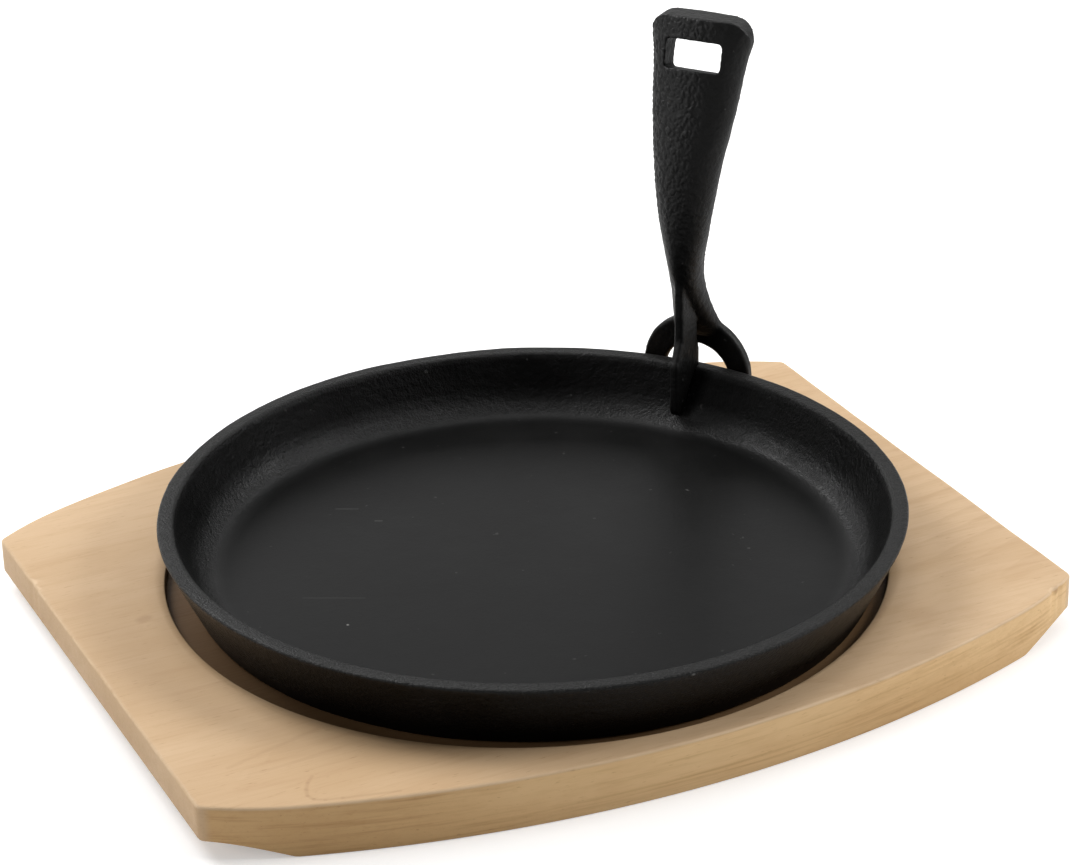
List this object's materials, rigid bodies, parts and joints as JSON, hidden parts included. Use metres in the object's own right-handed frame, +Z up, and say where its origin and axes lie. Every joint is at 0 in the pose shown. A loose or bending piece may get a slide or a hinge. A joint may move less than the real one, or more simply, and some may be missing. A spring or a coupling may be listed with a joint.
{
  "type": "serving pan on board",
  "caption": "Round cast iron serving pan with a smooth floor, set in a recess of a wooden board, with a lift-off handle hooked over its rim.",
  "frame": {"origin": "on the table under the middle of the board", "axes": "+Z up, X along the board's length, Y across it with the handle at the back right (+X, +Y)"},
  "size_m": [0.2954, 0.2514, 0.162],
  "materials": {
    "beech": "light straight-grained hardwood, fine sanded, thin oil",
    "iron": "seasoned black cast iron, fine sand-cast grain, matt with a soft sheen",
    "iron_handle": "seasoned black cast iron, pebbled as cast, soft sheen"
  },
  "bodies": {
    "root": {"board": "beech", "pan": "iron", "handle": "iron_handle"}
  },
  "joints": []
}
